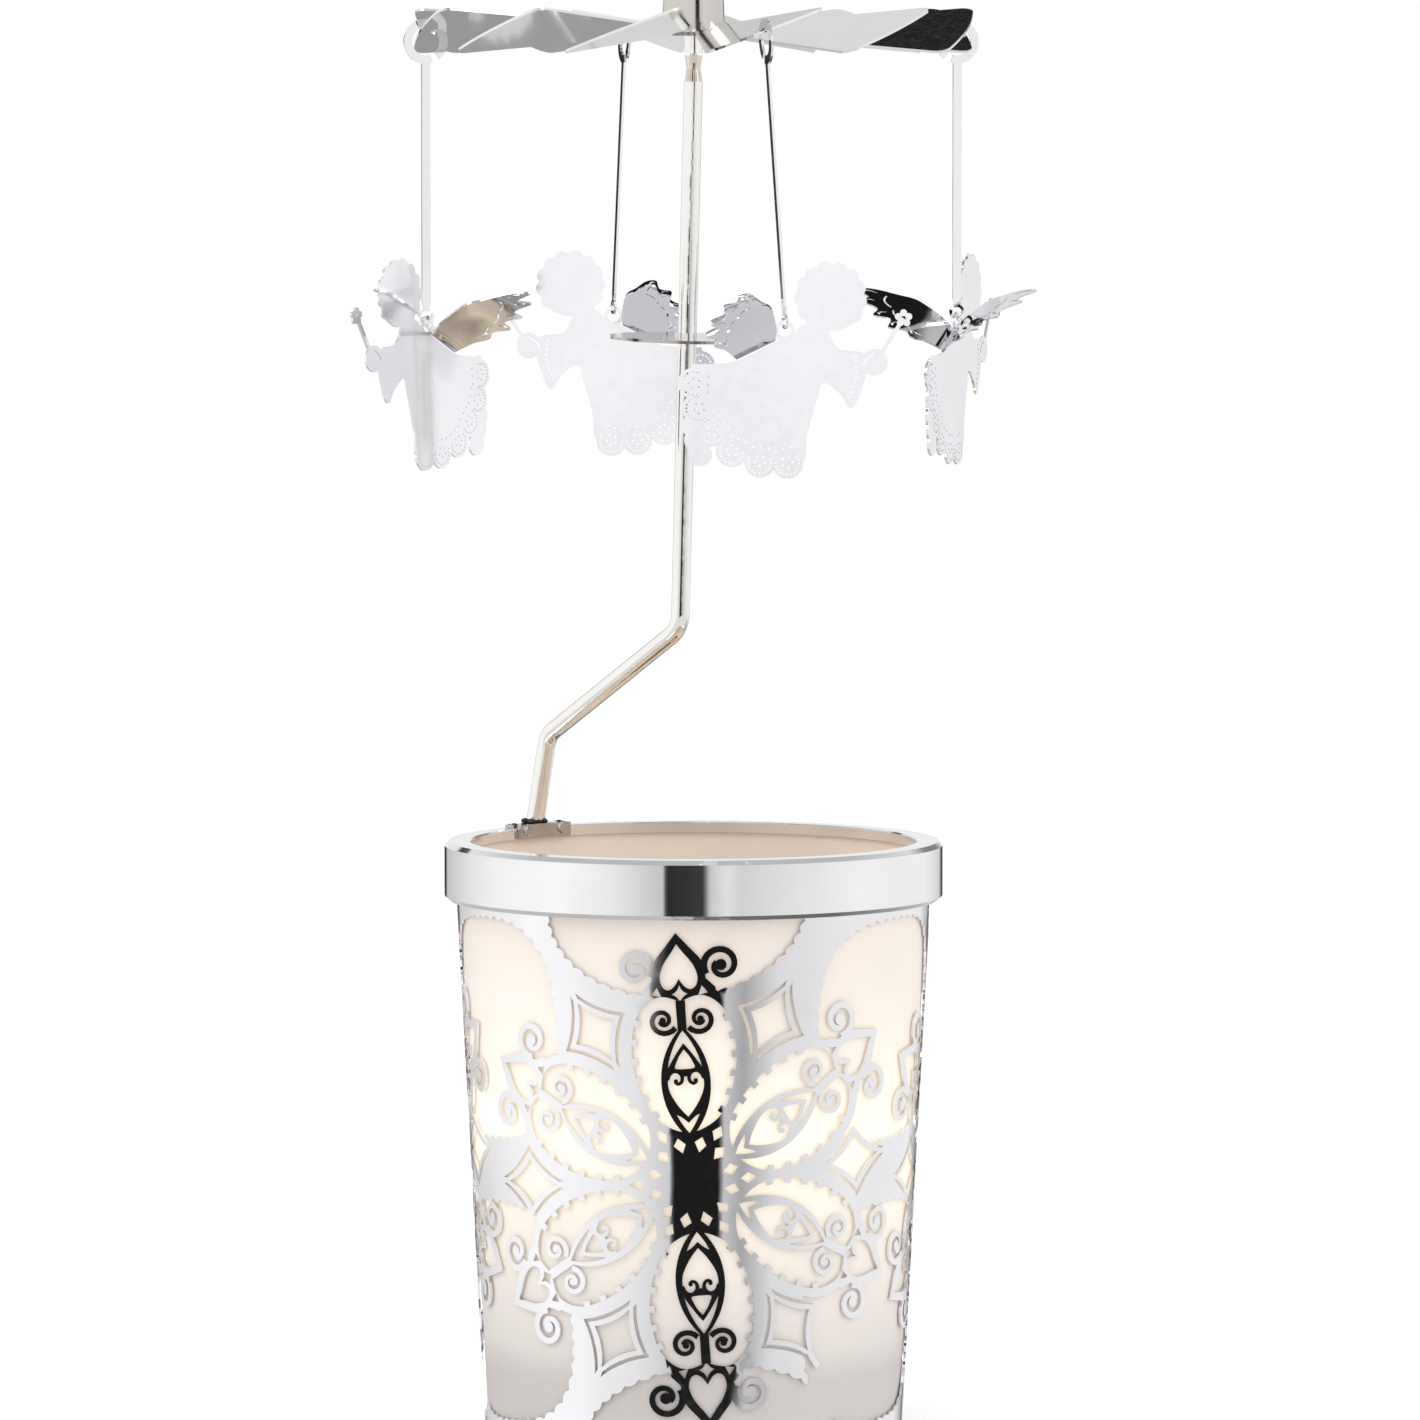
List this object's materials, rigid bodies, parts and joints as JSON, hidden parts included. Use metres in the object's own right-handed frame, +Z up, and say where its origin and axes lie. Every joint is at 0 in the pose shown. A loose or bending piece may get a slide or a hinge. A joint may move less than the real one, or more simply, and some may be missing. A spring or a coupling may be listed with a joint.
{
  "type": "angel candle carousel",
  "caption": "Candle carousel: frosted glass tealight cup in a pierced steel sleeve, bent rod, fan wheel and four hanging angels that turn in the warm air.",
  "frame": {"origin": "centre of the glass's flat underside", "axes": "+Z up along the glass and wheel axis, +X to the right of the pictured view, -Y towards its camera"},
  "size_m": [0.1088, 0.1147, 0.2327],
  "materials": {
    "frosted_glass": "frosted, satin, warm where the flame lights it",
    "mirror_steel": "mirror-polished sheet",
    "chrome": "bright chrome",
    "wire_steel": "polished wire",
    "needle_steel": "ground steel",
    "bearing_brass": "turned brass",
    "cup_aluminium": "thin drawn aluminium",
    "wax": "white paraffin wax",
    "wick_cotton": "waxed cotton, black at its tip",
    "tinplate": "tinned sheet"
  },
  "bodies": {
    "cup": {"glass_cup": "frosted_glass", "lace_sleeve": "mirror_steel"},
    "stand": {"rim_ring": "chrome", "rod_saddle": "wire_steel", "stand_rod": "wire_steel", "rod_disc": "mirror_steel", "pivot_collar": "wire_steel", "pivot_needle": "needle_steel"},
    "tealight": {"tealight_cup": "cup_aluminium", "tealight_wax": "wax", "wick": "wick_cotton", "wick_sustainer": "tinplate"},
    "rotor": {"fan_wheel": "mirror_steel", "hub_cap": "chrome", "hub_stem": "chrome", "hub_washer": "wire_steel", "bearing_cup": "bearing_brass"},
    "hanger_1_swing": {"hanger_1": "mirror_steel"},
    "angel_1_figure": {"angel_1": "mirror_steel", "wings_1": "mirror_steel"},
    "hanger_2_swing": {"hanger_2": "mirror_steel"},
    "angel_2_figure": {"angel_2": "mirror_steel", "wings_2": "mirror_steel"},
    "hanger_3_swing": {"hanger_3": "mirror_steel"},
    "angel_3_figure": {"angel_3": "mirror_steel", "wings_3": "mirror_steel"},
    "hanger_4_swing": {"hanger_4": "mirror_steel"},
    "angel_4_figure": {"angel_4": "mirror_steel", "wings_4": "mirror_steel"}
  },
  "joints": [
    {"name": "stand_lift", "type": "slide", "parent": "cup", "child": "stand", "axis": [0, 0, 1], "range_m": [0, 0.03]},
    {"name": "tealight_lift", "type": "slide", "parent": "cup", "child": "tealight", "axis": [0, 0, 1], "range_m": [0, 0.06]},
    {"name": "fan_spin", "type": "hinge", "parent": "stand", "child": "rotor", "pos_m": [0, 0, 0.2246], "axis": [0, 0, 1], "continuous": true},
    {"name": "hanger_1_swing", "type": "hinge", "parent": "rotor", "child": "hanger_1_swing", "pos_m": [0.0424, 0.01136, 0.2229], "axis": [0.2588, -0.9659, 0], "range_deg": [-10, 30]},
    {"name": "angel_1_rock", "type": "hinge", "parent": "hanger_1_swing", "child": "angel_1_figure", "pos_m": [0.0424, 0.01136, 0.17788], "axis": [0.9455, -0.3256, 0], "range_deg": [-20, 4]},
    {"name": "hanger_2_swing", "type": "hinge", "parent": "rotor", "child": "hanger_2_swing", "pos_m": [-0.01136, 0.0424, 0.2229], "axis": [0.965, 0.2586, -0.0436], "range_deg": [-10, 30]},
    {"name": "angel_2_rock", "type": "hinge", "parent": "hanger_2_swing", "child": "angel_2_figure", "pos_m": [-0.0132, 0.04191, 0.17792], "axis": [0, 1, 0], "range_deg": [-20, 4]},
    {"name": "hanger_3_swing", "type": "hinge", "parent": "rotor", "child": "hanger_3_swing", "pos_m": [-0.0424, -0.01136, 0.2229], "axis": [-0.2588, 0.9659, 0], "range_deg": [-10, 30]},
    {"name": "angel_3_rock", "type": "hinge", "parent": "hanger_3_swing", "child": "angel_3_figure", "pos_m": [-0.0424, -0.01136, 0.17788], "axis": [-0.8192, 0.5736, 0], "range_deg": [-20, 4]},
    {"name": "hanger_4_swing", "type": "hinge", "parent": "rotor", "child": "hanger_4_swing", "pos_m": [0.01136, -0.0424, 0.2229], "axis": [-0.9636, -0.2582, -0.0698], "range_deg": [-10, 30]},
    {"name": "angel_4_rock", "type": "hinge", "parent": "hanger_4_swing", "child": "angel_4_figure", "pos_m": [0.01429, -0.04162, 0.17798], "axis": [0, -1, 0], "range_deg": [-20, 4]}
  ]
}
